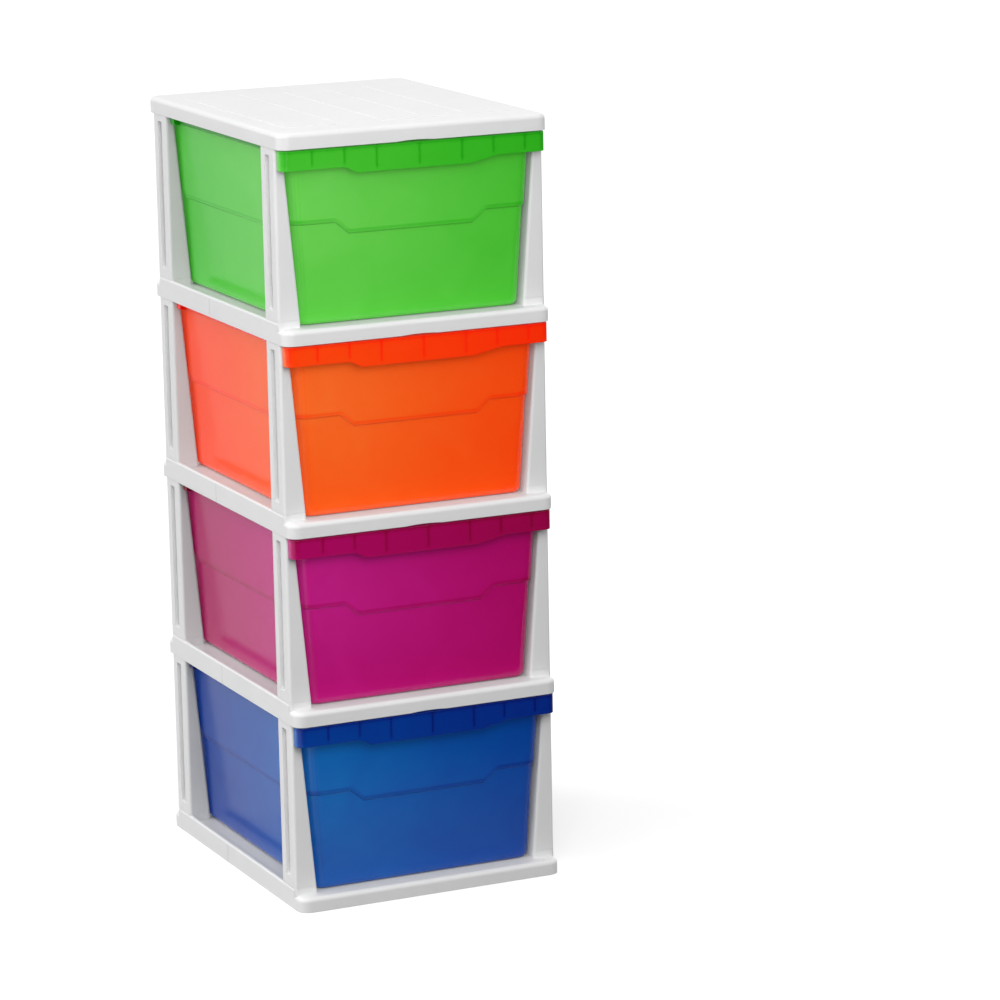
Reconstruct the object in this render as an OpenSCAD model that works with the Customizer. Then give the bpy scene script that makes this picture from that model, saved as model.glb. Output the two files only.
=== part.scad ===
// Plastic drawer tower: four drawers that slide on moulded shelves. Sixteen hollow
// tapered posts plug onto the shelves and carry the levels under a flat top cover.
// Millimetres, +Z up. The origin is the middle of the underside of the base, the
// drawers open towards -Y and levels count upwards from 1.

/* [Tower] */
// Outside width of the shelves and the cover
tower_w = 300; // [280:5:340]
// Outside depth of the shelves and the cover
tower_d = 375; // [350:5:420]
// Height from one shelf to the next
level_pitch = 200; // [180:5:240]
// Corner radius of the shelves and the cover, seen from above
corner_r = 12; // [9:1:15]

/* [Shelves] */
// Height of a shelf's floor above its lower edge
floor_z = 16; // [14:0.5:20]
// Thickness of the floor panel
floor_t = 2.5; // [2:0.25:3]
// Thickness of the skirt that hangs round the floor
skirt_t = 2.5; // [2:0.25:3]
// Radius of the rounded upper edge
nose_r = 5; // [4:0.5:6]
// Height of the side curbs above the floor
curb_h = 6; // [4:0.5:8]
// Thickness of the side curbs
curb_t = 4; // [3:0.5:5]
// Radius of the curbs' outer upper edge
curb_r = 2; // [1:0.25:2.5]
// Height of the post seats above the curbs
seat_rise = 2; // [1:0.5:4]
// Thickness of the ribs under a floor
web_t = 1.6; // [1.2:0.2:2]
// Distance between the ribs that run from front to back
web_pitch = 60; // [48:2:66]
// Gap between those ribs and the plane of the shelf's lower edge
web_gap = 7; // [6.5:0.5:8]
// Width of the finger notch in the front skirt's lower edge
notch_w = 42; // [30:2:50]
// Depth of that notch
notch_h = 1; // [0.5:0.25:2]
// Width of the witness groove across each side of a shelf
witness_w = 0.8; // [0.6:0.1:1.2]
// Distance of the witness groove behind the middle of the shelf
witness_y = 20; // [10:2:40]

/* [Top cover] */
// Height of the cover from its lower edge to its flat border
cover_h = 17; // [15:0.5:22]
// Width of the border beside the cover's raised panel
side_border = 24; // [20:1:40]
// Width of the border in front of the raised panel and behind it
end_border = 41.5; // [30:0.5:50]
// Height of the raised panel above the border
panel_rise = 0.7; // [0.5:0.1:1]
// Number of raised lines that run from front to back on the panel
line_count = 4; // [2:1:5]
// Distance between those lines
line_pitch = 47.5; // [36:0.5:48]
// Offset of the lines from the centre plane
line_shift = 7; // [0:1:8]
// Width of a raised line
line_w = 2; // [1.5:0.25:3]
// Height of a raised line above the panel
line_rise = 0.5; // [0.3:0.1:0.8]
// Distance from the panel's ends to the ends of the lines
line_margin = 18; // [10:1:24]

/* [Posts] */
// Distance of the posts' outer faces from the sides of the shelves
post_inset = 0.5; // [0.25:0.25:2]
// Distance of the front posts behind the shelves' front edge
post_front = 15.5; // [14:0.5:18]
// Distance of the rear posts from the shelves' rear edge
post_rear = 15.5; // [8:0.5:18]
// Depth of a post from front to back
post_d = 37.5; // [34:0.5:40]
// Width of a post at its foot
post_foot_w = 24; // [21:0.5:26]
// Width of a post at its head
post_head_w = 9.6; // [9.2:0.1:11]
// Wall thickness of the hollow posts
post_t = 2.2; // [1.8:0.1:2.4]
// Radius of the posts' upright edges
post_r = 3; // [2.5:0.25:4]
// Width of the tall groove in a post's outer face
groove_w = 12; // [8:0.5:14]
// Depth of that groove
groove_d = 4; // [3:0.25:4.25]
// Distance from a post's foot to the lower end of its groove
groove_lift = 10; // [9:0.5:14]
// Distance from a post's head to the upper end of its groove
groove_drop = 7.5; // [7:0.5:10]
// Corner radius of the groove's ends
groove_r = 1.5; // [1:0.25:3.5]
// Clearance round the plugs that hold the posts
plug_gap = 0.2; // [0.1:0.05:0.3]

/* [Drawers] */
// Wall thickness of a drawer
wall_t = 2; // [1.6:0.1:2.4]
// Gap between a drawer and the floor that it slides on
slide_gap = 0.3; // [0.3:0.05:0.5]
// Gap between a drawer's rim and the shelf above
head_gap = 1.5; // [1.2:0.1:2.5]
// Gap between a drawer's rim and the post heads
rim_gap = 0.9; // [0.6:0.1:1.5]
// Gap between a drawer's foot and the post feet
foot_gap = 1.5; // [1:0.1:9]
// Distance of the front wall's rim behind the lip's face
face_set = 8.9; // [8:0.1:10]
// Distance that the front wall leans back from its rim to its foot
face_lean = 8; // [5:0.5:12]
// Distance of the rear wall's rim in front of the posts' rear faces
back_set = 7.5; // [4:0.5:12]
// Distance that the rear wall leans in from its rim to its foot
back_lean = 6; // [4:0.5:10]
// Radius of a drawer's upright corners
drawer_r = 12; // [9:1:14]
// Radius of the edge between walls and bottom
heel_r = 6; // [4:0.5:7]
// Thickness that the rim band adds to the walls
band_t = 2.2; // [1:0.1:2.6]
// Height of the rim band
band_h = 7; // [6:0.5:14]
// Amount by which the upper wall stands proud of the lower wall
step_out = 1.9; // [1:0.1:2.5]
// Height of the step above the shelf's lower edge, near the corners
step_high = 120; // [100:1:130]
// Distance that the step drops along the middle of the front and rear walls
step_drop = 12.5; // [8:0.5:16]
// Distance that the step drops along the side walls
step_drop_side = 9; // [6:0.5:16]
// Length over which it drops
step_run = 15; // [10:1:20]
// Distance from the centre plane to the drops on the front and rear walls
step_half = 84; // [70:1:90]
// Distance from the drawer's corners to the drops on its side walls
step_side = 1; // [1:1:30]
// Distance from the stop lugs' outer faces to the sides of the shelves
lug_set = 5.5; // [5:0.25:7]
// Length of a stop lug
lug_l = 10; // [8:1:30]
// Gap between a stop lug and the rear post behind it
lug_gap = 1; // [0.5:0.25:3]

/* [Drawer lip] */
// Distance of the lip's face behind the shelves' front edge
lip_set = 1; // [0.5:0.25:1.5]
// Distance from the lip's ends to the sides of the shelves
lip_end = 3; // [2:0.2:6]
// Thickness of the lip
lip_t = 2; // [1.6:0.1:2.4]
// Radius of the lip's ends, seen from above
lip_r = 7.5; // [5:0.5:7.5]
// Height of the lip at its ends
lip_h = 20; // [16:0.5:26]
// Extra height of the lip along its middle
lip_drop = 6.5; // [4:0.5:10]
// Clearance between the lip and the posts behind it
lip_gap = 1; // [0.5:0.1:1.5]
// Start of the deep part of the lip, left of the centre plane
lip_left = 78; // [60:1:90]
// End of the deep part of the lip, right of the centre plane
lip_right = 93; // [60:1:95]
// Length over which the lip's lower edge drops at the left
lip_run_left = 13; // [8:1:20]
// Length over which it rises again at the right
lip_run_right = 31; // [8:1:34]
// Thickness of the gussets behind the lip
gusset_t = 1.6; // [1.2:0.1:2]
// Offset of the middle gusset from the centre plane
gusset_shift = 4.5; // [0:0.5:8]
// Distance from the middle gusset to the next one
gusset_near = 47.5; // [40:0.5:50]
// Distance from one outer gusset to the next
gusset_far = 35.5; // [28:0.5:36]

/* [Hidden] */
eps = 0.01;
far = 400;
past = 1;

// Colours
white = "whitesmoke";
drawer_colours = ["royalblue", "mediumvioletred", "orangered", "limegreen"];
level_count = len(drawer_colours);

// Post geometry, in the frame of one level (z = 0 at the shelf's lower edge)
seat_z = floor_z + curb_h + seat_rise;
post_outer = tower_w / 2 - post_inset;
post_foot_x = post_outer - post_foot_w;
post_head_x = post_outer - post_head_w;
post_lean = atan((post_head_x - post_foot_x) / (level_pitch - seat_z));
post_front_y = -tower_d / 2 + post_front;
post_rear_y = tower_d / 2 - post_rear;
post_mid_front = post_front_y + post_d / 2;
post_mid_rear = post_rear_y - post_d / 2;
groove_low = seat_z + groove_lift;
groove_high = level_pitch - groove_drop;
plug_up = groove_lift - post_t - 0.8;
plug_down = groove_drop - post_t - 0.3;
cavity_r = post_r - post_t + 0.4;

// Drawer geometry, in the frame of one level
drawer_z = floor_z + slide_gap;
rim_z = level_pitch - head_gap;
drawer_h = rim_z - drawer_z;
rim_half = post_head_x - rim_gap;
foot_half = post_foot_x - foot_gap;
wall_rise = rim_half - band_t - step_out - foot_half;
lip_face_y = -tower_d / 2 + lip_set;
face_rim_y = lip_face_y + face_set + band_t + step_out;
face_foot_y = face_rim_y + face_lean;
back_rim_y = post_rear_y - back_set - band_t - step_out;
back_foot_y = back_rim_y - back_lean;
step_low = step_high - step_drop;
step_low_side = step_high - step_drop_side;
step_z = 1.6;
heel_steps = 3;
corner_steps = 6;

// Lip geometry
lip_back_y = post_front_y - lip_gap;
lip_half = tower_w / 2 - lip_end;

// Stop lugs: when a drawer is pulled out they meet the front posts
lug_x = tower_w / 2 - lug_set;
lug_y = post_rear_y - post_d - lug_gap - lug_l;

// ---------- Shelves and cover ----------

// Block profile with its upper outer edge rounded: w wide, h high
module rounded_profile(w, h, r) {
  square([w, h - r]);
  square([w - r, h]);
  translate([w - r, h - r]) circle(r = r, $fn = 48);
}

// Section of a tray's edge: skirt, rounded nose and floor, from the corner's centre out
module edge_profile(h) {
  difference() {
    rounded_profile(corner_r, h, nose_r);
    translate([-eps, -eps])
      rounded_profile(corner_r - skirt_t + eps, h - floor_t + eps, nose_r - skirt_t);
  }
}

// Straight stretch of the tray's edge along X, centred, with its outer face at y = -outer
module edge_run(length, outer, h) {
  translate([-length / 2, -outer + corner_r, 0])
    rotate([90, 0, 90]) linear_extrude(length) mirror([1, 0]) edge_profile(h);
}

// Tray turned upside down: floor panel with a skirt round it
module tray(h) {
  in_w = tower_w - 2 * corner_r;
  in_d = tower_d - 2 * corner_r;
  for (turn = [0, 180]) rotate(turn) {
    edge_run(in_w, tower_d / 2, h);
    rotate(90) edge_run(in_d, tower_w / 2, h);
    translate([in_w / 2, in_d / 2, 0])
      rotate_extrude(angle = 90, $fn = 64) edge_profile(h);
    translate([-in_w / 2, in_d / 2, 0])
      rotate(90) rotate_extrude(angle = 90, $fn = 64) edge_profile(h);
  }
  translate([-in_w / 2, -in_d / 2, h - floor_t]) cube([in_w, in_d, floor_t]);
}

// Ribs under a floor, between the insides of the skirt
module webs(h) {
  in_w = tower_w - 2 * skirt_t;
  in_d = tower_d - 2 * skirt_t;
  web_h = h - floor_t - web_gap;
  for (i = [-2 : 2]) translate([i * web_pitch - web_t / 2, -in_d / 2, web_gap])
    cube([web_t, in_d, web_h]);
  for (y = [-in_d / 6, in_d / 6]) translate([-in_w / 2, y - web_t / 2, web_gap])
    cube([in_w, web_t, web_h]);
}

// The four places of the posts: child is drawn for the front right corner
module at_posts() {
  for (sx = [0, 1]) mirror([sx, 0, 0]) {
    translate([0, post_mid_front, 0]) children();
    translate([0, post_mid_rear, 0]) children();
  }
}

// Plug that fills a post's cavity from x0 outward, less the clearance, h high
module plug(x0, h) {
  linear_extrude(h) outline(
    x0 + post_t + plug_gap, post_outer - post_t - plug_gap,
    post_d / 2 - post_t - plug_gap, cavity_r - plug_gap);
}

// Seat below a shelf or the cover, with the plug that enters the post head
module head_seat(h) {
  seat_x = post_head_x - web_t;
  translate([seat_x, -post_d / 2 - web_t, 0])
    cube([tower_w / 2 - skirt_t / 2 - seat_x, post_d + 2 * web_t, h - floor_t + eps]);
  translate([0, 0, -plug_down]) plug(post_head_x, plug_down + eps);
}

// Seat on top of a shelf, with the plug that enters the post foot
module foot_seat() {
  post_shape(floor_z - floor_t / 2, seat_z, 0, post_r);
  translate([0, 0, seat_z - eps])
    plug(post_foot_x + plug_up * tan(post_lean), plug_up + eps);
}

// Side curb with a rounded outer edge
module curb() {
  run_y = post_front_y + post_r;
  run = post_rear_y - post_r - run_y;
  curb_low = floor_z - nose_r - skirt_t;
  translate([tower_w / 2 - curb_t, run_y + run, curb_low])
    rotate([90, 0, 0]) linear_extrude(run)
      rounded_profile(curb_t, floor_z + curb_h - curb_low, curb_r);
}

// Shallow arc cut upward from the lower edge of the front skirt
module notch_cut() {
  notch_arc = (notch_w * notch_w / 4 + notch_h * notch_h) / (2 * notch_h);
  translate([0, -tower_d / 2 + 2 * skirt_t, notch_h - notch_arc])
    rotate([90, 0, 0]) cylinder(r = notch_arc, h = 3 * skirt_t, $fn = 256);
}

// Upright witness groove in both sides
module witness_cut() {
  for (sx = [-1, 1])
    translate([sx * tower_w / 2 - witness_w / 2, witness_y, -eps])
      cube([witness_w, witness_w, floor_z + curb_h - curb_r]);
}

// What every shelf has: tray, curbs and seats for the posts above
module shelf_top() {
  tray(floor_z);
  webs(floor_z);
  for (sx = [0, 1]) mirror([sx, 0, 0]) curb();
  at_posts() foot_seat();
}

module base_shelf() {
  color(white) difference() {
    shelf_top();
    witness_cut();
  }
}

module shelf(level) {
  color(white) translate([0, 0, level * level_pitch]) difference() {
    union() {
      shelf_top();
      at_posts() head_seat(floor_z);
    }
    notch_cut();
    witness_cut();
  }
}

// Raised panel on the cover, with low ridges that run from front to back
module panel() {
  panel_w = tower_w - 2 * side_border;
  panel_d = tower_d - 2 * end_border;
  line_l = panel_d - 2 * line_margin;
  middle = (line_count - 1) / 2;
  translate([-panel_w / 2, -panel_d / 2, cover_h - floor_t / 2])
    cube([panel_w, panel_d, floor_t / 2 + panel_rise]);
  for (i = [0 : line_count - 1])
    translate([line_shift + (i - middle) * line_pitch, line_l / 2, cover_h + panel_rise])
      rotate([90, 0, 0]) linear_extrude(line_l) polygon([
        [-line_w / 2, -panel_rise], [line_w / 2, -panel_rise], [line_w / 2, 0],
        [line_w / 4, line_rise], [-line_w / 4, line_rise], [-line_w / 2, 0]]);
}

module top_cover() {
  color(white) translate([0, 0, level_count * level_pitch]) difference() {
    union() {
      tray(cover_h);
      panel();
      webs(cover_h);
      at_posts() head_seat(cover_h);
    }
    notch_cut();
  }
}

// ---------- Posts ----------

// Solid between two heights with the post's tapered outline, shrunk by inset on all
// sides: the outer face is upright, the inner face leans outward towards the head
module post_shape(z0, z1, inset, r) {
  half_d = post_d / 2 - inset;
  intersection() {
    linear_extrude(far) outline(post_foot_x - far / 4, post_outer - inset, half_d, r);
    translate([post_foot_x, 0, seat_z]) rotate([0, post_lean, 0])
      translate([inset, 0, -far / 2])
        linear_extrude(2 * far) outline(0, post_foot_w + far / 8, half_d, r);
    translate([0, -post_d, z0]) cube([2 * tower_w, 2 * post_d, z1 - z0]);
  }
}

// Rounded rectangle from x0 to x1, half_d to both sides
module outline(x0, x1, half_d, r) {
  translate([x0, -half_d + r]) square([x1 - x0, 2 * half_d - 2 * r]);
  translate([x0 + r, -half_d]) square([x1 - x0 - 2 * r, 2 * half_d]);
  for (x = [x0 + r, x1 - r], y = [-half_d + r, half_d - r])
    translate([x, y]) circle(r = r, $fn = 48);
}

// Upright slot through the outer face, grown by wall on all sides
module groove(wall) {
  depth = groove_d + wall;
  z0 = groove_low - wall;
  z1 = groove_high + wall;
  r = groove_r + wall;
  half_w = groove_w / 2 + wall;
  translate([post_outer - depth, 0, 0]) rotate([90, 0, 90])
    linear_extrude(depth + past) {
      translate([-half_w, z0 + r]) square([2 * half_w, z1 - z0 - 2 * r]);
      translate([-half_w + r, z0]) square([2 * half_w - 2 * r, z1 - z0]);
      for (x = [-half_w + r, half_w - r], y = [z0 + r, z1 - r])
        translate([x, y]) circle(r = r, $fn = 48);
    }
}

module post() {
  difference() {
    post_shape(seat_z, level_pitch, 0, post_r);
    difference() {
      post_shape(seat_z - past, level_pitch + past, post_t, cavity_r);
      groove(post_t);
    }
    groove(0);
  }
}

module post_at(level, sx, mid_y) {
  color(white) translate([0, mid_y, (level - 1) * level_pitch])
    mirror([sx < 0 ? 1 : 0, 0, 0]) post();
}

// ---------- Drawers ----------

// Outer faces of the lower walls at height z
function half_at(z) = foot_half + wall_rise * (z - drawer_z) / drawer_h;
function face_at(z) = face_foot_y - face_lean * (z - drawer_z) / drawer_h;
function back_at(z) = back_foot_y + back_lean * (z - drawer_z) / drawer_h;

// Places round a drawer's wall, counter-clockwise seen from above. Each is
// [side in x, side in y, fixed x, fixed y, angle, step height]
function arc_places(sx, sy, a0) = [
  for (i = [0 : corner_steps]) [sx, sy, undef, undef, a0 + 90 * i / corner_steps, step_high]];
side_front = face_foot_y + drawer_r + step_side;
side_back = back_foot_y - drawer_r - step_side;
places = concat(
  [[0, -1, -step_half, undef, 0, step_high],
   [0, -1, -step_half + step_run, undef, 0, step_low],
   [0, -1, step_half - step_run, undef, 0, step_low],
   [0, -1, step_half, undef, 0, step_high]],
  arc_places(1, -1, 270),
  [[1, 0, undef, side_front, 0, step_high],
   [1, 0, undef, side_front + step_run, 0, step_low_side],
   [1, 0, undef, side_back - step_run, 0, step_low_side],
   [1, 0, undef, side_back, 0, step_high]],
  arc_places(1, 1, 0),
  [[0, 1, step_half, undef, 0, step_high],
   [0, 1, step_half - step_run, undef, 0, step_low],
   [0, 1, -step_half + step_run, undef, 0, step_low],
   [0, 1, -step_half, undef, 0, step_high]],
  arc_places(-1, 1, 90),
  [[-1, 0, undef, side_back, 0, step_high],
   [-1, 0, undef, side_back - step_run, 0, step_low_side],
   [-1, 0, undef, side_front + step_run, 0, step_low_side],
   [-1, 0, undef, side_front, 0, step_high]],
  arc_places(-1, -1, 180));

// Point of the wall at place p and height z, off outside the lower wall's face
function wall_point(p, z, off) =
  let (r = drawer_r + off,
       x = half_at(z) + off,
       y0 = face_at(z) - off,
       y1 = back_at(z) + off)
  is_undef(p[2]) && is_undef(p[3])
    ? [p[0] * (x - r) + r * cos(p[4]), (p[1] < 0 ? y0 + r : y1 - r) + r * sin(p[4]), z]
    : is_undef(p[3]) ? [p[2], p[1] < 0 ? y0 : y1, z]
    : [p[0] * x, p[3], z];

// Rings from the outside of the bottom over the rim to the inside of the bottom.
// Each is [height, offset, 1 if the height is counted from the step]
function heel(r, base, off) = [
  for (i = [0 : heel_steps]) let (a = 90 * i / heel_steps)
    [base + r * (1 - cos(a)), off - r * (1 - sin(a)), 0]];
function reversed(v) = [for (i = [len(v) - 1 : -1 : 0]) v[i]];
band_z = rim_z - band_h;
rim_edge = 0.8;
outer_off = step_out + band_t;
rings = concat(
  heel(heel_r, drawer_z, 0),
  [[0, 0, 1], [step_z, step_out, 1], [band_z, step_out, 0], [band_z + band_t, outer_off, 0],
   [rim_z - rim_edge, outer_off, 0], [rim_z, outer_off - rim_edge, 0],
   [rim_z, step_out - wall_t, 0], [step_z + wall_t, step_out - wall_t, 1],
   [wall_t, -wall_t, 1]],
  reversed(heel(heel_r - wall_t, drawer_z + wall_t, -wall_t)));

module bin() {
  n = len(places);
  last = (len(rings) - 1) * n;
  centre_y = (face_foot_y + back_foot_y) / 2;
  points = concat(
    [for (g = rings, p = places) wall_point(p, g[0] + g[2] * p[5], g[1])],
    [[0, centre_y, drawer_z], [0, centre_y, drawer_z + wall_t]]);
  sides = [for (j = [0 : n : last - n], i = [0 : n - 1], t = [0, 1])
    let (a = j + i, b = j + (i + 1) % n)
    t == 0 ? [a, b + n, b] : [a, a + n, b + n]];
  under = [for (i = [0 : n - 1]) [i, (i + 1) % n, last + n]];
  inside = [for (i = [0 : n - 1]) [last + (i + 1) % n, last + i, last + n + 1]];
  polyhedron(points = points, faces = concat(sides, under, inside), convexity = 6);
}

// Plan of the lip: straight face with rounded front corners, shrunk by inset
module lip_plan(inset) {
  half = lip_half - inset;
  r = lip_r - inset;
  y0 = lip_face_y + inset;
  translate([-half, y0 + r]) square([2 * half, lip_back_y - y0 - r]);
  translate([-half + r, y0]) square([2 * half - 2 * r, lip_back_y - y0]);
  intersection() {
    for (sx = [-1, 1]) translate([sx * (half - r), y0 + r]) circle(r = r, $fn = 48);
    translate([-half, y0]) square([2 * half, lip_back_y - y0]);
  }
}

// Lower edge of the lip: shallow at the ends, deep along the middle
module lip_front_profile() {
  shallow = rim_z - lip_h;
  deep = shallow - lip_drop;
  polygon([
    [-lip_half - past, rim_z], [-lip_half - past, shallow], [-lip_left, shallow],
    [-lip_left + lip_run_left, deep], [lip_right - lip_run_right, deep],
    [lip_right, shallow], [lip_half + past, shallow], [lip_half + past, rim_z]]);
}

function lip_edge(x) = rim_z - lip_h - lip_drop * lookup(x, [
  [-lip_left, 0], [-lip_left + lip_run_left, 1],
  [lip_right - lip_run_right, 1], [lip_right, 0]]);

module lip() {
  // downturned face and ends
  intersection() {
    translate([0, 0, rim_z - lip_h - lip_drop]) linear_extrude(lip_h + lip_drop)
      difference() {
        lip_plan(0);
        translate([0, 2 * eps]) lip_plan(lip_t);
      }
    translate([0, far, 0]) rotate([90, 0, 0]) linear_extrude(2 * far) lip_front_profile();
  }
  // flat top that joins the face to the front wall
  translate([0, 0, rim_z - lip_t]) linear_extrude(lip_t) lip_plan(0);
  // gussets between the face and the wall
  for (side = [-1, 1], i = [0 : 3]) if (side > 0 || i > 0) {
    x = gusset_shift + side * (i == 0 ? 0 : gusset_near + (i - 1) * gusset_far);
    low = lip_edge(x) + past;
    translate([x - gusset_t / 2, 0, 0]) rotate([90, 0, 90]) linear_extrude(gusset_t)
      polygon([
        [lip_face_y + lip_t / 2, rim_z - lip_t / 2], [lip_face_y + lip_t / 2, low],
        [face_at(low) - step_out + wall_t / 2, low],
        [face_at(rim_z) - step_out + wall_t / 2, rim_z - lip_t / 2]]);
  }
}

// Lugs on the side walls' rim band
module stop_lugs() {
  root_x = rim_half - band_t - wall_t / 2;
  for (sx = [0, 1]) mirror([sx, 0, 0]) translate([0, lug_y + lug_l, 0]) rotate([90, 0, 0])
    linear_extrude(lug_l) polygon([
      [root_x, band_z], [lug_x - rim_edge, band_z], [lug_x, band_z + rim_edge],
      [lug_x, rim_z - rim_edge], [root_x, rim_z - rim_edge]]);
}

module drawer(level) {
  color(drawer_colours[level - 1]) translate([0, 0, (level - 1) * level_pitch]) {
    bin();
    lip();
    stop_lugs();
  }
}

// ---------- Placed pieces ----------

base_shelf();
shelf(1);  // shelf_lower
shelf(2);  // shelf_middle
shelf(3);  // shelf_upper
top_cover();
for (level = [1 : level_count]) {
  stem = str("post_", level);
  post_at(level, -1, post_mid_front);
  post_at(level, 1, post_mid_front);
  post_at(level, -1, post_mid_rear);
  post_at(level, 1, post_mid_rear);
  drawer(level);
}
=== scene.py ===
# %% [markdown]
# # A plastic drawer tower
# The object is a tower of translucent drawers in a white frame. Every piece is one
# injection moulding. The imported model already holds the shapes, so this script gives
# them their finish and soft edges, and sets up a floor, the light and a camera.

# %% Load the frame
import math

import bpy
from mathutils import Matrix, Vector


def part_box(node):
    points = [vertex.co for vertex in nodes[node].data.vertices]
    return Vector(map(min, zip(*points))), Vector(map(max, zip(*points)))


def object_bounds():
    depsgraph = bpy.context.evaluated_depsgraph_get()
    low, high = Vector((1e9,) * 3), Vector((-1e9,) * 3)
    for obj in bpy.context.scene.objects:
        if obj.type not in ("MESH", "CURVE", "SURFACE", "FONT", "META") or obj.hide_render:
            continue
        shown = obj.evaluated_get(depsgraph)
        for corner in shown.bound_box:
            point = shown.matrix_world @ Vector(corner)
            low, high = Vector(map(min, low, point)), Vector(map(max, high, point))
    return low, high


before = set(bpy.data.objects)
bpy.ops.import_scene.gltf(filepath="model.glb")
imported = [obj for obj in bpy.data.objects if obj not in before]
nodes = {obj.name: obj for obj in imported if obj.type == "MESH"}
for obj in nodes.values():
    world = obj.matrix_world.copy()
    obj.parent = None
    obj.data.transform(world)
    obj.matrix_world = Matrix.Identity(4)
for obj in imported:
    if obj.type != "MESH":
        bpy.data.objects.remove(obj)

MM = 0.001
cad_low, cad_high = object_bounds()
size = [round((high - low) / MM) for low, high in zip(cad_low, cad_high)]
print(len(nodes), "moulded pieces, overall size in mm:", size)

# %% [markdown]
# ## Sorting the mouldings
# Two kinds of moulding make the tower: opaque white ones that carry, and translucent
# coloured ones that slide. They could be listed by hand, but the names of the nodes
# already say which is which, so new pieces would sort themselves.

# %% Drawers and frame pieces
drawers = {name: node for name, node in nodes.items() if name.startswith("drawer_")}
white_pieces = {name: node for name, node in nodes.items() if name not in drawers}
print("drawers:", sorted(drawers))
print("white pieces:", len(white_pieces))

# %% [markdown]
# ## Colour and node helpers
# Colours are easiest to judge as sRGB hex values, but Blender's shaders work in linear
# light, so one function converts them. A second function adds a shader node, sets its
# inputs and links them, which keeps each material as short as a recipe. A third starts
# an empty material.


# %% Hex colours and node helpers
def linear(hex_colour):
    """Turns an sRGB hex colour into the linear RGBA that a shader socket takes."""
    channels = [int(hex_colour[i:i + 2], 16) / 255 for i in (1, 3, 5)]
    low = [c / 12.92 for c in channels]
    high = [((c + 0.055) / 1.055) ** 2.4 for c in channels]
    return [h if c > 0.04045 else s for c, s, h in zip(channels, low, high)] + [1]


def add_node(tree, kind, inputs=None, **settings):
    """Adds a shader node. inputs maps a socket's name or number to a value or an output."""
    node = tree.nodes.new(kind)
    for name, value in settings.items():
        setattr(node, name, value)
    for key, value in (inputs or {}).items():
        if isinstance(value, bpy.types.NodeSocket):
            tree.links.new(value, node.inputs[key])
        else:
            node.inputs[key].default_value = value
    return node


def new_material(name):
    """Gives an empty material and its node tree, ready for a recipe."""
    material = bpy.data.materials.new(name)
    material.use_nodes = True
    material.node_tree.nodes.clear()
    return material, material.node_tree


print("mid grey in linear light:", [round(c, 3) for c in linear("#808080")])

# %% [markdown]
# ## White polypropylene
# The frame is polypropylene with white pigment, moulded in a steel tool with a fine
# spark-eroded grain. To the eye it is a soft white with a low sheen: wide, weak
# highlights that break up a little, and edges that catch a thin line of light. A plain
# white colour would look like paper, so the recipe adds a faint cloudiness, a grain
# that spreads the sheen, and light that enters the plastic by a wall's thickness. The
# real edges are rounded by less than a millimetre, which a Bevel node gives for the
# price of a few rays instead of many small faces.

# %% White frame material
WHITE = "#F0F0F0"
WHITE_SHADE = "#EDEDEE"  # the cloudy places
GRAIN = 1.6 * MM  # the real grain is 0.2 mm, drawn coarser so that it shows
GRAIN_DEPTH = 0.02 * MM
CLOUD = 70 * MM  # width of a cloud in the pigment, and of a shallow wave with it
CLOUD_HEIGHT = 0.25 * MM
GRAINED_ROUGHNESS = (0.36, 0.46)
EDGE_RADIUS = 0.7 * MM
WALL = 2 * MM
POLYPROPYLENE_IOR = 1.49
EVEN = (1.0, 1.0, 1.0)  # red, green and blue light scatter equally far
NOISE_LOW, NOISE_HIGH = 0.3, 0.7  # most of a noise lies between these


def moulded_white_polypropylene():
    material, tree = new_material("moulded_white_polypropylene")
    place = add_node(tree, "ShaderNodeTexCoord").outputs["Object"]
    cloud = add_node(tree, "ShaderNodeTexNoise",
                     {"Vector": place, "Scale": 1 / CLOUD, "Detail": 3.0})
    grain = add_node(tree, "ShaderNodeTexNoise",
                     {"Vector": place, "Scale": 1 / GRAIN, "Detail": 3.0})
    shade = add_node(tree, "ShaderNodeMapRange",
                     {"Value": cloud.outputs["Fac"],
                      "From Min": NOISE_LOW, "From Max": NOISE_HIGH})
    colour = add_node(tree, "ShaderNodeMix",
                      {"Factor": shade.outputs[0],
                       "A": linear(WHITE), "B": linear(WHITE_SHADE)},
                      data_type="RGBA")
    roughness = add_node(tree, "ShaderNodeMapRange",
                         {"Value": grain.outputs["Fac"],
                          "From Min": NOISE_LOW, "From Max": NOISE_HIGH,
                          "To Min": GRAINED_ROUGHNESS[0], "To Max": GRAINED_ROUGHNESS[1]})
    rounded = add_node(tree, "ShaderNodeBevel", {"Radius": EDGE_RADIUS}, samples=4)
    waves = add_node(tree, "ShaderNodeBump",
                     {"Height": cloud.outputs["Fac"], "Distance": CLOUD_HEIGHT,
                      "Strength": 0.5, "Normal": rounded.outputs[0]})
    grained = add_node(tree, "ShaderNodeBump",
                       {"Height": grain.outputs["Fac"], "Distance": GRAIN_DEPTH,
                        "Strength": 0.5, "Normal": waves.outputs[0]})
    shader = add_node(tree, "ShaderNodeBsdfPrincipled",
                      {"Base Color": colour.outputs["Result"],
                       "Roughness": roughness.outputs[0],
                       "IOR": POLYPROPYLENE_IOR,
                       "Subsurface Weight": 0.15,
                       "Subsurface Radius": EVEN,
                       "Subsurface Scale": WALL,
                       "Normal": grained.outputs[0]})
    add_node(tree, "ShaderNodeOutputMaterial", {"Surface": shader.outputs[0]})
    return material


frame_white = moulded_white_polypropylene()
print("made", frame_white.name)

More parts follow.
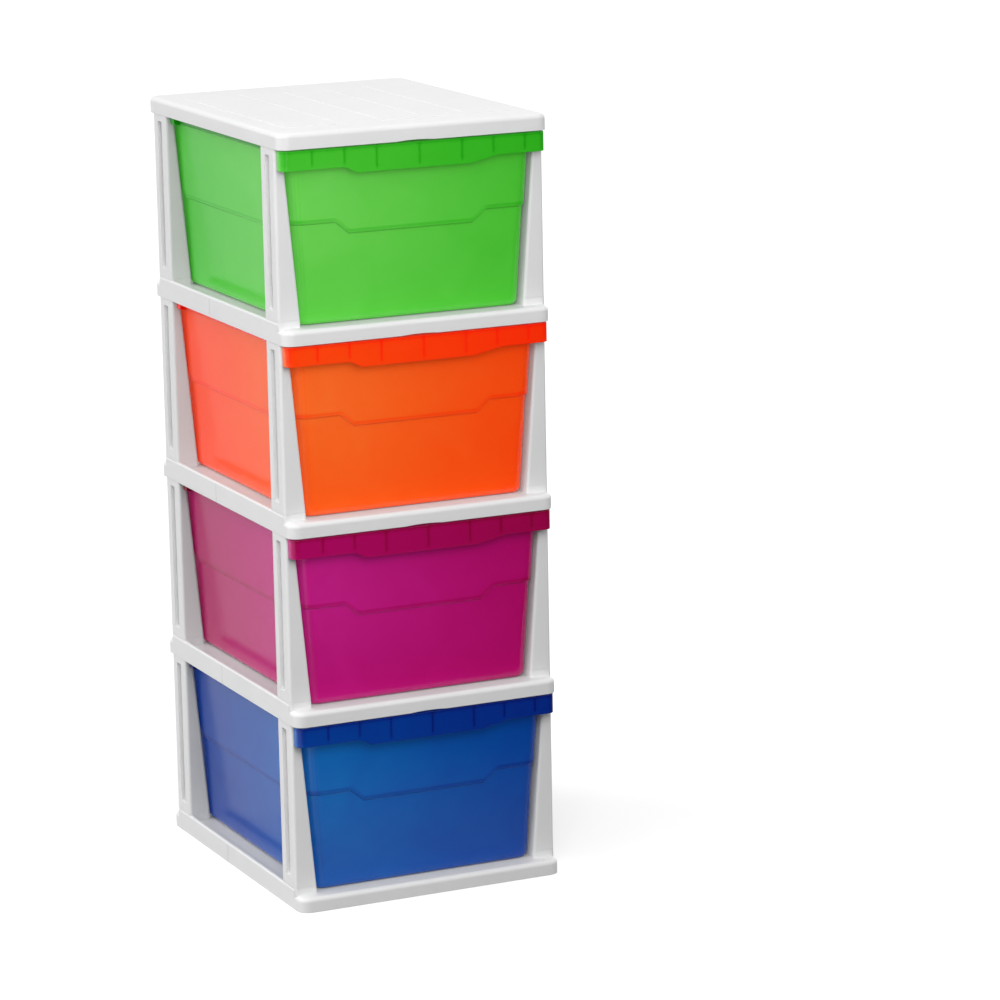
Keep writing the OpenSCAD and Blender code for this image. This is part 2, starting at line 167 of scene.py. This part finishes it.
# %% [markdown]
# ## Dyed translucent polypropylene
# The drawers are the same plastic with a dye in place of the white pigment, moulded in
# a polished tool. Light enters the two-millimetre walls, scatters in them and comes out
# coloured, so a drawer seems to glow by itself. The dye swallows a fixed share of the
# light in each wall that the light crosses: two walls give the colour of one, squared.
# That makes the colour deeper where more plastic lies in the way.

# %% Drawer dyes
DYES = {
    "drawer_4": ("green", "#70D458"),
    "drawer_3": ("orange", "#FF7028"),
    "drawer_2": ("magenta", "#C61E88"),
    "drawer_1": ("blue", "#0366B6"),
}
print("dyes:", [tone for tone, dye in DYES.values()])

# %% [markdown]
# ## How deep the dye is, with painted light
# Each hex value above is the colour of a single plain wall. This step works out how many
# such walls the light crosses at a place, and the colour is then raised to that power
# by a Gamma node. Four things add layers. The first is painted light: the colour is
# painted palest at a fixed spot, front left and high, and deeper away from it, standing
# in for the light that falls into the drawer there and fades across it. Ribs, gussets
# and the moulded step are thicker, which an inward Ambient Occlusion node finds: its
# short rays run into the plastic, and in a thin wall more of them meet the far side
# than in a rib. The lip covers the rim behind it. And the flow of the melt leaves slow,
# faint clouds. A real volume with absorption would do the same, but with walls this thin it
# renders dark and noisy.

# %% Dye layers
PROBE = 5 * MM  # more than twice the wall, so that only a rib or a joint fills it
THIN_WALL, FILLED_WALL = 0.28, 0.48  # what the probe gives on a plain wall and on a rib
RIB_LAYERS = 1.6
RIBS_START, RIBS_FULL = 15 * MM, 50 * MM  # heights over the drawer's underside
# painted light: the colour is painted palest at this spot and deeper away from it, standing in
# for the light that falls into the drawer there
PAINTED_LIGHT_SPOT = Vector((0.12, 0.0, 0.70))  # left, in front and high, as shares of the box
PAINTED_LIGHT_NEAR, PAINTED_LIGHT_FAR = 20 * MM, 330 * MM
LAYERS_AT_PAINTED_LIGHT, LAYERS_IN_PAINTED_SHADE = 1.0, 1.6
LIP_FRONT, LIP_BACK = 3 * MM, 6 * MM  # the lip fades out between these depths
LIP_LAYERS = 0.5
FLOW_LAYERS = 0.035


def dye_and_painted_light_layers(tree, place, flow, name):
    """How many plain walls of dye the light crosses at a place, with painted light: fewer
    layers near a fixed spot, more away from it.
    """
    low, high = (Vector(corner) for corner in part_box(name))
    # painted light: fewer layers of dye near the fixed spot, more away from it
    spot = [a + share * (b - a) for a, b, share in zip(low, high, PAINTED_LIGHT_SPOT)]
    from_painted_light = add_node(tree, "ShaderNodeVectorMath", {0: place, 1: spot}, operation="DISTANCE")
    painted_light_depth = add_node(tree, "ShaderNodeMapRange",
                    {"Value": from_painted_light.outputs["Value"],
                     "From Min": PAINTED_LIGHT_NEAR, "From Max": PAINTED_LIGHT_FAR,
                     "To Min": LAYERS_AT_PAINTED_LIGHT, "To Max": LAYERS_IN_PAINTED_SHADE})
    inward = add_node(tree, "ShaderNodeAmbientOcclusion", {"Distance": PROBE},
                      inside=True, samples=16)
    thick = add_node(tree, "ShaderNodeMapRange",
                     {"Value": inward.outputs["AO"],
                      "From Min": THIN_WALL, "From Max": FILLED_WALL,
                      "To Min": 0.0, "To Max": RIB_LAYERS})
    along = add_node(tree, "ShaderNodeSeparateXYZ", {0: place})
    above_floor = add_node(tree, "ShaderNodeMapRange",
                           {"Value": along.outputs["Z"],
                            "From Min": low.z + RIBS_START,
                            "From Max": low.z + RIBS_FULL})
    rib = add_node(tree, "ShaderNodeMath", {0: thick.outputs[0], 1: above_floor.outputs[0]},
                   operation="MULTIPLY")
    lip = add_node(tree, "ShaderNodeMapRange",
                   {"Value": along.outputs["Y"],
                    "From Min": low.y + LIP_FRONT, "From Max": low.y + LIP_BACK,
                    "To Min": LIP_LAYERS, "To Max": 0.0})
    swirls = add_node(tree, "ShaderNodeMapRange",
                      {"Value": flow, "From Min": NOISE_LOW, "From Max": NOISE_HIGH,
                       "To Min": -FLOW_LAYERS, "To Max": FLOW_LAYERS})
    total = painted_light_depth
    for more in (rib, lip, swirls):
        total = add_node(tree, "ShaderNodeMath", {0: total.outputs[0], 1: more.outputs[0]})
    return total.outputs[0]


print("walls of dye, from the pale spot to the far corner:", LAYERS_AT_PAINTED_LIGHT, "to", LAYERS_IN_PAINTED_SHADE)

# %% [markdown]
# ## The drawers' plastic
# Glass would be too clear for this plastic, and a plain colour too solid. The recipe is
# a smooth, slightly glossy surface that passes on a little light and scatters some just
# below, with a weak painted glow: an emission in the wall's own colour that stands in for
# the light that arrives through the other walls. A real drawer tints the white frame
# beside it only faintly, so the colour is muted for the diffuse rays that carry the tint. Slow
# waves in the surface bend the reflections.

# %% Drawer plastic
FLOW = 60 * MM  # width of a wave that the melt leaves
FLOW_SWIRL = 0.8
FLOW_HEIGHT = 0.3 * MM
RIPPLE = 3 * MM  # the real ripple is finer, drawn coarser so that it shows
POLISHED_ROUGHNESS = (0.16, 0.20)
PASSED_ON = 0.12  # share of the light that goes straight on through the wall
SCATTERED = 0.35  # share that wanders inside the wall
# painted glow: the drawers are no lamps, and this emission stands in for the light that comes
# through the other walls
PAINTED_GLOW = 0.24  # share of its own colour that a wall gives as light
BLEED = 0.40  # share of its colour that a drawer throws on its neighbours


def moulded_translucent_polypropylene(name, tone, dye):
    """The plastic of one drawer, with the dye as deep as its own shape makes it, painted paler
    near a fixed spot, and with a painted glow.
    """
    material, tree = new_material(f"moulded_{tone}_translucent_polypropylene")
    place = add_node(tree, "ShaderNodeTexCoord").outputs["Object"]
    flow = add_node(tree, "ShaderNodeTexNoise",
                    {"Vector": place, "Scale": 1 / FLOW, "Detail": 2.0,
                     "Distortion": FLOW_SWIRL}).outputs["Fac"]
    ripple = add_node(tree, "ShaderNodeTexNoise",
                      {"Vector": place, "Scale": 1 / RIPPLE, "Detail": 2.0})
    roughness = add_node(tree, "ShaderNodeMapRange",
                         {"Value": ripple.outputs["Fac"],
                          "From Min": NOISE_LOW, "From Max": NOISE_HIGH,
                          "To Min": POLISHED_ROUGHNESS[0], "To Max": POLISHED_ROUGHNESS[1]})
    # the dye's depth, which includes the painted light around the pale spot
    dye_with_painted_light = add_node(tree, "ShaderNodeGamma",
                    {"Color": linear(dye), "Gamma": dye_and_painted_light_layers(tree, place, flow, name)})
    path = add_node(tree, "ShaderNodeLightPath")
    muted = add_node(tree, "ShaderNodeMapRange",
                     {"Value": path.outputs["Is Diffuse Ray"],
                      "To Min": 1.0, "To Max": BLEED}).outputs[0]
    colour = add_node(tree, "ShaderNodeHueSaturation",
                      {"Color": dye_with_painted_light.outputs[0], "Saturation": muted, "Value": muted})
    rounded = add_node(tree, "ShaderNodeBevel", {"Radius": EDGE_RADIUS}, samples=4)
    waves = add_node(tree, "ShaderNodeBump",
                     {"Height": flow, "Distance": FLOW_HEIGHT, "Strength": 0.3,
                      "Normal": rounded.outputs[0]})
    shader = add_node(tree, "ShaderNodeBsdfPrincipled",
                      {"Base Color": colour.outputs["Color"],
                       "Roughness": roughness.outputs[0],
                       "IOR": POLYPROPYLENE_IOR,
                       "Transmission Weight": PASSED_ON,
                       "Subsurface Weight": SCATTERED,
                       "Subsurface Radius": EVEN,
                       "Subsurface Scale": WALL,
                       # painted glow: the wall gives its own colour as light
                       "Emission Color": colour.outputs["Color"],
                       "Emission Strength": PAINTED_GLOW,
                       "Normal": waves.outputs[0]})
    add_node(tree, "ShaderNodeOutputMaterial", {"Surface": shader.outputs[0]})
    return material


drawer_plastics = {}
for name, (tone, dye) in DYES.items():
    drawer_plastics[name] = moulded_translucent_polypropylene(name, tone, dye)
print("made", [plastic.name for plastic in drawer_plastics.values()])

# %% [markdown]
# ## Dressing the pieces
# A real moulding leaves its tool in one colour, so each piece takes one material all
# over. A Blender object could hold several, face by face, and none is needed here.


# %% Materials on the pieces
def dress(node, material):
    node.data.materials.clear()
    node.data.materials.append(material)


for name, node in white_pieces.items():
    dress(node, frame_white)
for name, node in drawers.items():
    dress(node, drawer_plastics[name])
print("dressed", len(nodes), "pieces")

# %% [markdown]
# ## Floor
# The tower stands on seamless matt white paper, large enough to fill the view, which
# keeps its soft shadow. So much white paper would throw light up under every edge and
# flatten the sides. A studio dims it with black cards that the camera doesn't see, most
# of all in front. Here the Light Path node stands in for the cards: the camera sees the
# paper at full brightness and a little lifted, reflections see most of it, and only a
# small part of its light bounces up to the tower.

# %% Floor paper
PAPER = "#F4F4F4"
LIFT = 0.32  # light that the camera sees on top of the paper's own
REFLECTED = 0.75  # share of the paper that a glossy surface sees
BOUNCE = 0.18  # share of the paper that lights the tower
CARD_TOWARDS = (0.43, -0.90, 0)  # forwards and to the right
CARD_START, CARD_END = 0.1, 0.6  # metres from the tower's middle towards the cards
CARD_SHARE = 0.06  # what the cards leave of the paper's light


def studio_paper():
    """White paper whose brightness depends on the ray: camera, reflection or bounce."""
    material, tree = new_material("matt_white_studio_paper")
    path = add_node(tree, "ShaderNodeLightPath").outputs
    place = add_node(tree, "ShaderNodeTexCoord").outputs["Object"]
    ahead = add_node(tree, "ShaderNodeVectorMath", {0: place, 1: CARD_TOWARDS},
                     operation="DOT_PRODUCT")
    cards = add_node(tree, "ShaderNodeMapRange",
                     {"Value": ahead.outputs["Value"], "From Min": CARD_START,
                      "From Max": CARD_END, "To Min": 1.0, "To Max": CARD_SHARE})
    lit = add_node(tree, "ShaderNodeMath", {0: cards.outputs[0], 1: path["Is Camera Ray"]},
                   operation="MAXIMUM")
    mirrored = add_node(tree, "ShaderNodeMath", {0: path["Is Glossy Ray"], 1: REFLECTED},
                        operation="MULTIPLY")
    seen = add_node(tree, "ShaderNodeMath",
                    {0: path["Is Camera Ray"], 1: mirrored.outputs[0]}, operation="MAXIMUM")
    bounce = add_node(tree, "ShaderNodeMapRange",
                      {"Value": seen.outputs[0], "To Min": BOUNCE, "To Max": 1.0})
    weight = add_node(tree, "ShaderNodeMath", {0: lit.outputs[0], 1: bounce.outputs[0]},
                      operation="MULTIPLY")
    shade = add_node(tree, "ShaderNodeMix",
                     {"Factor": weight.outputs[0], "A": (0, 0, 0, 1), "B": linear(PAPER)},
                     data_type="RGBA")
    matt = add_node(tree, "ShaderNodeBsdfDiffuse", {"Color": shade.outputs["Result"]})
    lift = add_node(tree, "ShaderNodeMath", {0: path["Is Camera Ray"], 1: LIFT},
                    operation="MULTIPLY")
    lifted = add_node(tree, "ShaderNodeEmission", {"Strength": lift.outputs[0]})
    both = add_node(tree, "ShaderNodeAddShader", {0: matt.outputs[0], 1: lifted.outputs[0]})
    add_node(tree, "ShaderNodeOutputMaterial", {"Surface": both.outputs[0]})
    return material


print("the tower gets", BOUNCE, "of the paper's light, and reflections", REFLECTED)

# %% Floor
FLOOR_HALF = 30.0  # metres
SQUARE = ((-1, -1), (1, -1), (1, 1), (-1, 1))


def studio_floor():
    mesh = bpy.data.meshes.new("studio_floor")
    corners = [(x * FLOOR_HALF, y * FLOOR_HALF, 0) for x, y in SQUARE]
    mesh.from_pydata(corners, [], [(0, 1, 2, 3)])
    mesh.materials.append(studio_paper())
    floor = bpy.data.objects.new("studio_floor", mesh)
    bpy.context.scene.collection.objects.link(floor)


studio_floor()
print("floor width in m:", 2 * FLOOR_HALF)

# %% [markdown]
# ## Light
# A light tent surrounds the tower: even white light from all sides, and white in every
# reflection. Alone it would leave all faces alike, so a very wide light from the left
# makes the left sides brighter than the fronts, and every edge separates from its
# neighbour. One softbox in front, a little higher than the tower, fades towards the
# floor. A weak fill from the right and behind keeps the far sides from going grey.

# %% Light tent
TENT = 0.66
scene = bpy.context.scene


def light_tent():
    world = bpy.data.worlds.new("light_tent")
    world.use_nodes = True
    tree = world.node_tree
    tree.nodes.clear()
    path = add_node(tree, "ShaderNodeLightPath")
    seen = add_node(tree, "ShaderNodeMath",
                    {0: path.outputs["Is Camera Ray"], 1: path.outputs["Is Glossy Ray"]},
                    operation="MAXIMUM")
    seen = add_node(tree, "ShaderNodeMath",
                    {0: seen.outputs[0], 1: path.outputs["Is Transmission Ray"]},
                    operation="MAXIMUM")
    strength = add_node(tree, "ShaderNodeMapRange",
                        {"Value": seen.outputs[0], "To Min": TENT, "To Max": 1.0})
    back = add_node(tree, "ShaderNodeBackground",
                    {"Color": (1, 1, 1, 1), "Strength": strength.outputs[0]})
    add_node(tree, "ShaderNodeOutputWorld", {"Surface": back.outputs[0]})
    scene.world = world


light_tent()
print("light tent strength:", TENT)


# %% Lamps
def put_lamp(name, lamp, place, aim):
    holder = bpy.data.objects.new(name, lamp)
    holder.location = place
    holder.rotation_euler = (Vector(aim) - Vector(place)).to_track_quat("-Z", "Y").to_euler()
    scene.collection.objects.link(holder)


def wide_light(name, towards, strength, spread_degrees):
    """Parallel light with a wide angle, from the direction towards."""
    lamp = bpy.data.lights.new(name, "SUN")
    lamp.energy = strength
    lamp.angle = math.radians(spread_degrees)
    put_lamp(name, lamp, towards, (0, 0, 0))


def softbox(name, place, aim, width, watts):
    lamp = bpy.data.lights.new(name, "AREA")
    lamp.shape = "DISK"
    lamp.size = width
    lamp.energy = watts
    put_lamp(name, lamp, place, aim)


wide_light("left_light", towards=(-0.80, 0.16, 0.40), strength=1.40, spread_degrees=60)
wide_light("right_fill", towards=(0.85, 0.45, 0.15), strength=0.70, spread_degrees=60)
softbox("front_softbox", place=(-0.30, -1.25, 1.05), aim=(0, -0.19, 0.6), width=0.8, watts=7.0)
print("lamps:", [lamp.name for lamp in bpy.data.lights])

# %% [markdown]
# ## Camera
# A product like this is shown from one front corner and a little above, so that the
# top, a side and the fronts are seen at once. A long lens from well back keeps the
# uprights almost parallel. The camera is turned by three angles: about the upright
# axis, down towards the tower, and a little about its own line of sight.

# %% Camera
LENS = 154.78  # millimetres
STAND = Vector((-1.75142, -4.16234, 1.38468))  # metres
TURN = math.radians(24.816)
TILT = math.radians(12.469)
ROLL = math.radians(-1.099)


def product_camera():
    ahead = Vector((math.sin(TURN) * math.cos(TILT), math.cos(TURN) * math.cos(TILT),
                    -math.sin(TILT)))
    level_right = Vector((math.cos(TURN), -math.sin(TURN), 0))
    level_up = level_right.cross(ahead)
    right = level_right * math.cos(ROLL) + level_up * math.sin(ROLL)
    up = right.cross(ahead)
    data = bpy.data.cameras.new("product_camera")
    data.lens = LENS
    data.clip_end = 3 * FLOOR_HALF
    camera = bpy.data.objects.new("product_camera", data)
    turned = Matrix((right, up, -ahead)).transposed().to_4x4()
    camera.matrix_world = Matrix.Translation(STAND) @ turned
    scene.collection.objects.link(camera)
    scene.camera = camera


product_camera()
scene.view_settings.view_transform = "Standard"
print("camera", round(STAND.length, 2), "m from the tower's foot")
